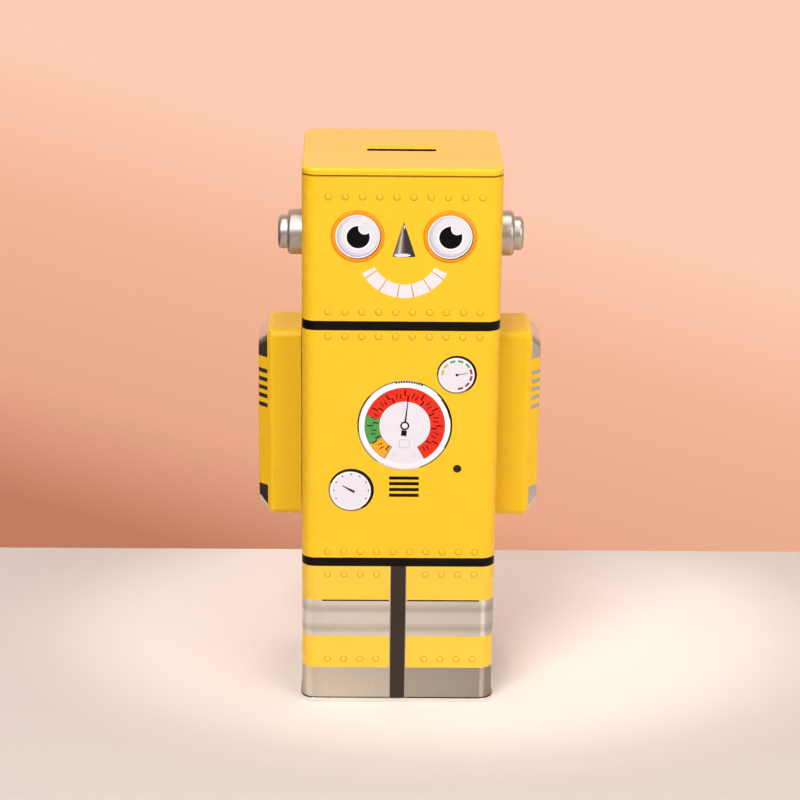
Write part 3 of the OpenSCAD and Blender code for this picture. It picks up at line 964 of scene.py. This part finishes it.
def build_lid():
    """A hemmed lid with a dished surround round the coin slot."""
    skin = Skin()
    hem_z = LID_LOW + HEM_R
    hem_end = hem_z + HEM_LEG
    edge_z = LID_TOP - LID_EDGE_R
    fold_x = -2 * HEM_R
    hem = profile_arc(-HEM_R, hem_z, HEM_R, 180, 360, 12)
    # The hem's underside, over the gap above the tube, gets painted shade.
    run_round(skin, straight(fold_x, hem_end, fold_x, hem_z, -1, 0) + hem[1:12], "edge_brown")
    outside = (
        hem[11:]
        + straight(0, hem_z, 0, edge_z, 1, 0)[1:]
        + profile_arc(-LID_EDGE_R, edge_z, LID_EDGE_R, 0, 90, 8)[1:]
    )
    run_round(skin, outside, "yellow")
    within = (
        profile_arc(-LID_EDGE_R, edge_z, LID_EDGE_R - SHEET, 90, 0, 6, True)
        + straight(-SHEET, edge_z, -SHEET, hem_z, -1, 0)[1:]
        + profile_arc(-HEM_R, hem_z, HEM_R - SHEET, 0, -180, 6, True)[1:]
        + straight(fold_x + SHEET, hem_z, fold_x + SHEET, hem_end, 1, 0)[1:]
    )
    run_round(skin, within, "inside")
    run_round(skin, straight(fold_x + SHEET, hem_end, fold_x, hem_end, 0, 1), "inside")

    # Top and underside, from the edge to the slot. The dish's rows are (distance outwards from
    # its edge, drop, share of the slope's lean).
    lean = math.hypot(DISH_DEPTH, DISH_SLOPE)
    up, out = DISH_SLOPE / lean, -DISH_DEPTH / lean
    soft = 0.5
    foot = DISH_SLOPE - soft
    fall = DISH_DEPTH / DISH_SLOPE
    dish = [
        (soft, 0, 0), (soft / 2, 0.02, 0.25), (0, 0.07, 0.6), (-soft / 2, 0.17, 0.9),
        (-soft, soft * fall + 0.05, 1), (-foot, foot * fall, 1), (-DISH_SLOPE, DISH_DEPTH - 0.04, 0.5),
    ]
    slot_edge = 0.15
    for drop, sign, ink in ((0, 1, "yellow_lid"), (SHEET, -1, "inside")):
        top = LID_TOP - drop
        w, d, r = BODY_W - 2 * LID_EDGE_R, BODY_D - 2 * LID_EDGE_R, CORNER_R - LID_EDGE_R
        rings = [box_ring(w, d, r, top, 0, sign)]
        for o, down, part in dish:
            w, d, r = DISH_W + 2 * o, DISH_D + 2 * o, DISH_R + o
            rings.append(box_ring(w, d, r, top - down, sign * out * part, sign * (1 + (up - 1) * part)))
        for o in (slot_edge, 0):
            w, d, r = SLOT_L + 2 * o, SLOT_W + 2 * o, SLOT_R + o
            rings.append(box_ring(w, d, r, top - DISH_DEPTH, 0, sign))
        loft(skin, rings, ink)
    floor = LID_TOP - DISH_DEPTH
    # The slot's cut walls are painted black, as painted shade inside the slot.
    cut = [box_ring(SLOT_L, SLOT_W, SLOT_R, z, -1, 0) for z in (floor, floor - SHEET)]
    loft(skin, cut, "black")
    skin.build("lid", "lid", ["lid_cap"])


EAR_CUP_R, EAR_CUP_H = 8.7, 6.0
EAR_CAP_R, EAR_CAP_H = 6.5, 3.6
EAR_EDGE = 1.6


def build_ear(side, name, base, r, height, hole, node):
    """A drawn cup that opens towards the head, with a rounded edge."""
    skin = Skin()
    flat_r, flat_h = r - EAR_EDGE, height - EAR_EDGE
    profiles = [
        straight(r, 0, r, flat_h, 1, 0)
        + profile_arc(flat_r, flat_h, EAR_EDGE, 0, 90, 8)[1:]
        + straight(flat_r, height, hole, height, 0, 1)[1:],
        straight(hole, height - SHEET, flat_r, height - SHEET, 0, -1)
        + profile_arc(flat_r, flat_h, EAR_EDGE - SHEET, 90, 0, 6, True)[1:]
        + straight(r - SHEET, flat_h, r - SHEET, 0, -1, 0)[1:],
        straight(r - SHEET, 0, r, 0, 0, -1),
    ]
    if hole:
        profiles.append(straight(hole, height, hole, height - SHEET, -1, 0))
    for rows in profiles:
        loft(skin, [round_ring(base, 0, EAR_Z, side, *row) for row in rows], "ear_tin")
    skin.build(name, "tin_body", [node])


# ---------------- arms

ARM_IN, ARM_OUT = 38.1, 54.7
ARM_TOP, ARM_L, ARM_D = 147.3, 75.9, 28.0
ARM_LOW = ARM_TOP - ARM_L
ARM_MIDDLE = ARM_TOP - ARM_L / 2
BEVEL = 5.0
BEVEL_R = 1.5
ARM_CORNER = 3.0
TANGENT = BEVEL_R * math.tan(math.radians(22.5))
FILLET = TANGENT * math.cos(math.radians(45))


def arm_depth(y, z):
    """How far a place is inside the arm's outline, and the outward lean there. The outline keeps
    its corner radius as it is moved inwards."""
    a = np.abs(y) - ARM_D / 2 + ARM_CORNER
    b = np.abs(z - ARM_MIDDLE) - ARM_L / 2 + ARM_CORNER
    flat = ARM_CORNER - np.maximum(a, b)
    root = np.sqrt(np.maximum(2 * ARM_CORNER ** 2 - (a - b) ** 2, 0))
    bent = (root - a - b) / 2
    cornered = (a + bent > 0) & (b + bent > 0) & (np.abs(a - b) < ARM_CORNER)
    depth = np.where(cornered, bent, flat)
    total = np.maximum(a + b + 2 * bent, 1e-9)
    oy = np.where(cornered, (a + bent) / total, (a >= b) * 1.0)
    oz = np.where(cornered, (b + bent) / total, (a < b) * 1.0)
    return depth, oy * np.where(y < 0, -1.0, 1.0), oz * np.where(z < ARM_MIDDLE, -1.0, 1.0)


def arm_height(depth):
    """How far out the arm's face is at a depth inside its outline, and its slope."""
    low = ARM_OUT - BEVEL - TANGENT
    u = np.clip(BEVEL_R - depth, 0, BEVEL_R * 0.99999)
    first = low + np.sqrt(BEVEL_R ** 2 - u ** 2)
    first_slope = u / np.sqrt(BEVEL_R ** 2 - u ** 2)
    v = np.clip(BEVEL + TANGENT - depth, 0, BEVEL_R * 0.99)
    last = ARM_OUT - BEVEL_R + np.sqrt(BEVEL_R ** 2 - v ** 2)
    last_slope = v / np.sqrt(BEVEL_R ** 2 - v ** 2)
    cases = [depth < FILLET, depth < BEVEL - FILLET]
    height = np.select(cases, [first, ARM_OUT - BEVEL + depth], last)
    slope = np.select(cases, [first_slope, np.ones_like(depth)], last_slope)
    return height, slope


def arm_outline(depth):
    """The arm's outline moved inwards, as points (y, z)."""
    w, d, r = ARM_D - 2 * depth, ARM_L - 2 * depth, ARM_CORNER
    base, _, _ = around(loop_places(w, d, r, 5, 8), w, d, r)
    return [(y, z + ARM_MIDDLE) for y, z in base]


# Where the arm's face is bare tin, as (low, high): a panel at each end and five stripes
PRINT_INSET = 1.45
STRIPE_HALF = 0.83
arm_stripes = [(136.0, ARM_TOP)]
arm_stripes += [(z - STRIPE_HALF, z + STRIPE_HALF) for z in (130.3, 126.8, 123.4, 120.1, 116.4)]
arm_stripes += [(ARM_LOW, 83.4)]


def build_arm(side, name, body, node):
    """An arm's pressed shell: its face with the bevel, and its side walls back to the arm's plate."""
    sheet = Sheet()
    bends = [math.radians(9 * i) for i in range(6)]
    arcs = [BEVEL_R * (1 - math.cos(a)) for a in bends]
    tops = [BEVEL + TANGENT - BEVEL_R * math.sin(a) for a in reversed(bends)]
    bevel_middle, on_face = 3.2, 8.0
    for depth in arcs + [PRINT_INSET, bevel_middle] + tops + [on_face]:
        sheet.loop(arm_outline(depth))
    for low, high in arm_stripes:
        for z in (low, high):
            if ARM_LOW + 1 < z < ARM_TOP - 1:
                sheet.line([(-ARM_D / 2 + PRINT_INSET, z), (ARM_D / 2 - PRINT_INSET, z)])
    for y in np.arange(-9, 10, 3.0):
        for z in np.arange(ARM_MIDDLE - 30, ARM_MIDDLE + 31, 5.0):
            sheet.dot((y, z))
    flat, triangles = sheet.cut()
    depth, oy, oz = arm_depth(flat[:, 0], flat[:, 1])
    height, slope = arm_height(np.maximum(depth, 0))
    n = np.column_stack([np.ones(len(flat)), slope * oy, slope * oz])
    edge = depth < 1e-3
    n[edge] = np.column_stack([np.zeros(len(flat)), oy, oz])[edge]
    n /= np.linalg.norm(n, axis=1)[:, None]
    outer = np.column_stack([height, flat])
    inner = outer - n * SHEET
    flip = np.array([side, 1, 1])
    skin = Skin()
    middles = np.array([flat[list(t)].mean(0) for t in triangles])
    deep, _, _ = arm_depth(middles[:, 0], middles[:, 1])
    for t, middle, d in zip(triangles, middles, deep):
        striped = any(low < middle[1] < high for low, high in arm_stripes)
        ink = "arm_bare" if striped and d > PRINT_INSET else "yellow"
        skin.face([outer[i] * flip for i in t], [n[i] * flip for i in t], ink)
        skin.face([inner[i] * flip for i in t], [-n[i] * flip for i in t], "inside")
    rim = np.array(arm_outline(0))
    _, ry, rz = arm_depth(rim[:, 0], rim[:, 1])
    ry = np.round(ry, 9)
    out = np.column_stack([np.zeros(len(rim)), ry, rz])
    out /= np.linalg.norm(out, axis=1)[:, None]
    start = float(arm_height(np.zeros(1))[0][0])

    def wall(x, inset):
        return np.column_stack([np.full(len(rim), x), rim]) * flip - out * inset * flip

    levels = [start, (start + ARM_IN) / 2, ARM_IN]
    loft(skin, [(wall(x, 0), out * flip) for x in levels], "yellow_arm")
    loft(skin, [(wall(x, SHEET), -out * flip) for x in levels], "inside")
    back = np.tile([-1.0, 0, 0], (len(rim), 1)) * flip
    loft(skin, [(wall(ARM_IN, 0), back), (wall(ARM_IN, SHEET), back)], "inside")
    skin.build(name, body, [node])


# ---------------- build

build_tube()
build_base()
build_lid()
CUP_AT = BODY_W / 2
CAP_AT = CUP_AT + EAR_CUP_H
for side, hand in ((-1, "left"), (1, "right")):
    build_ear(side, f"{hand}_ear_cup_tin", CUP_AT, EAR_CUP_R, EAR_CUP_H, EAR_HOLE_R, f"{hand}_ear_cup")
    build_ear(side, f"{hand}_ear_cap_tin", CAP_AT, EAR_CAP_R, EAR_CAP_H, 0, f"{hand}_ear_cap")
    build_arm(side, f"{hand}_arm_tin", f"{hand}_arm", f"{hand}_arm_shell")

# The CAD parts that still show
SHEET_NODES = ("lid_collar", "left_arm_back", "right_arm_back")
for node, thing in frame["nodes"].items():
    if thing.hide_render:
        continue
    finish = INKS["base_tin" if node in SHEET_NODES else "steel"]
    thing.data.materials.clear()
    thing.data.materials.append(finish)

# ---------------- stage

def stage_piece(name, corners, faces, mat):
    mesh = bpy.data.meshes.new(name)
    mesh.from_pydata(corners, [], faces)
    mesh.materials.append(mat)
    thing = bpy.data.objects.new(name, mesh)
    bpy.context.scene.collection.objects.link(thing)


def table_painted_light_pool():
    """Matt paint with a painted pool of light round the tin's foot, darker further out."""
    m, tree, shader, coords = material("table_painted_light_pool")
    patch = placed(tree, coords, place=(0.02, 0.045, 0), size=(0.19, 0.15, 1))
    pool = gradient(tree, patch, "SPHERICAL")
    # Painted light: pale in the pool round the tin's foot, darker towards its edge.
    stops = [(0, (213, 203, 199)), (0.12, (220, 209, 204)), (0.34, (244, 234, 228)), (0.55, (252, 242, 236))]
    colour = ramp(tree, pool, [(p, linear(c)) for p, c in stops])
    tree.links.new(colour, shader.inputs["Base Color"])
    cloud = noise(tree, coords, scale=3)
    tree.links.new(spread(tree, cloud, 0.8, 0.9), shader.inputs["Roughness"])
    shader.inputs["Specular IOR Level"].default_value = 0.2
    return m


def slab(name, outline, low, high, mat):
    """A closed block with a flat top, as a table is. The outline runs anticlockwise from above."""
    count = len(outline)
    corners = [(x, y, z) for z in (low, high) for x, y in outline]
    faces = [tuple(reversed(range(count))), tuple(range(count, 2 * count))]
    for i in range(count):
        j = (i + 1) % count
        faces.append((i, j, j + count, i + count))
    stage_piece(name, corners, faces, mat)


def glowing_backdrop_paint(name, place, turn, reach, stops):
    """A backdrop that glows by itself, with painted shade that changes evenly in one direction."""
    m, tree, shader, coords = material(name)
    slope = gradient(tree, placed(tree, coords, place, turn, (reach,) * 3), "LINEAR")
    colour = ramp(tree, slope, [(p, linear(c)) for p, c in stops])
    tree.links.new(colour, shader.inputs["Emission Color"])
    shader.inputs["Emission Strength"].default_value = 1.0
    shader.inputs["Base Color"].default_value = (0, 0, 0, 1)
    shader.inputs["Roughness"].default_value = 1.0
    shader.inputs["Specular IOR Level"].default_value = 0.0
    return m


# The table ends close behind the tin and on its left, and the paper hangs far behind.
TABLE = [(-0.19, -1.6), (1.6, -1.6), (1.6, 0.125), (-0.19, 0.125)]
slab("table", TABLE, -0.02, 0, table_painted_light_pool())
PAPER_Y = 2.0
# The backdrop glows on its own, and its stops are painted shade, darkest low down on the left.
paper = glowing_backdrop_paint("paper", (0, PAPER_Y, -0.9), (0, math.radians(-73.3), 0), 0.9, [
    (0.07, (193, 126, 97)), (0.237, (233, 168, 138)), (0.321, (236, 173, 142)),
    (0.49, (245, 182, 151)), (0.685, (254, 204, 179)), (0.94, (255, 203, 179)),
])
paper_corners = [(x, PAPER_Y, z) for x, z in ((-3, -2.5), (3, -2.5), (3, 2.5), (-3, 2.5))]
stage_piece("backdrop", paper_corners, [(0, 1, 2, 3)], paper)


LAMP_AIM = (0, 0, 0.1)


def lamp(name, place, size, power, tint):
    """A rectangle of light that faces the tin."""
    data = bpy.data.lights.new(name, "AREA")
    data.shape = "RECTANGLE"
    data.size, data.size_y = size
    data.energy = power
    data.color = tint
    thing = bpy.data.objects.new(name, data)
    bpy.context.scene.collection.objects.link(thing)
    way = Vector(LAMP_AIM) - Vector(place)
    thing.location = place
    thing.rotation_euler = way.to_track_quat("-Z", "Y").to_euler()


WARM = (1, 0.98, 0.97)
lamp("key", (-0.42, -1.0, 1.15), (0.7, 0.7), 15, WARM)
lamp("fill", (0.9, -1.15, 0.8), (1.0, 1.0), 9, WARM)
lamp("overhead", (0.1, -0.1, 1.4), (1.0, 0.8), 6, (1, 0.99, 0.98))


def studio_world():
    """Even light all round, dark low down on the left and brighter on the right."""
    world = bpy.data.worlds.new("studio")
    world.use_nodes = True
    tree = world.node_tree
    coords = tree.nodes.new("ShaderNodeTexCoord").outputs["Generated"]
    slant = placed(tree, coords, turn=(0, math.radians(225), 0), kind="POINT")
    low_left = spread(tree, sideways(tree, slant), 0, 1, 0.74, 0.86)
    colour = ramp(tree, low_left, [(0, (1, 0.96, 0.92, 1)), (1, (0.25, 0.12, 0.09, 1))])
    tree.links.new(colour, tree.nodes["Background"].inputs["Color"])
    power = spread(tree, sideways(tree, coords), 0.18, 0.4, 0.4, 0.9)
    tree.links.new(power, tree.nodes["Background"].inputs["Strength"])
    return world


scene = bpy.context.scene
scene.world = studio_world()
scene.view_settings.view_transform = "Standard"

# ---------------- camera

FILM_W = 36
LENS = 114.1375
PITCH_DOWN, YAW, ROLL = (math.radians(a) for a in (18.906, 1.050, 0.692))
EYE_POINT = Vector((-16.831, -944.220, 438.174)) * MM
ahead = Vector((
    math.sin(YAW) * math.cos(PITCH_DOWN), math.cos(YAW) * math.cos(PITCH_DOWN), -math.sin(PITCH_DOWN),
))
right = Vector((math.cos(YAW), -math.sin(YAW), 0))
up = right.cross(ahead)
right_rolled = right * math.cos(ROLL) + up * math.sin(ROLL)
up_rolled = up * math.cos(ROLL) - right * math.sin(ROLL)
camera_data = bpy.data.cameras.new("camera")
camera_data.sensor_width = FILM_W
camera_data.lens = LENS
camera = bpy.data.objects.new("camera", camera_data)
turned = Matrix((right_rolled, up_rolled, -ahead)).transposed()
camera.matrix_world = Matrix.Translation(EYE_POINT) @ turned.to_4x4()
scene.collection.objects.link(camera)
scene.camera = camera
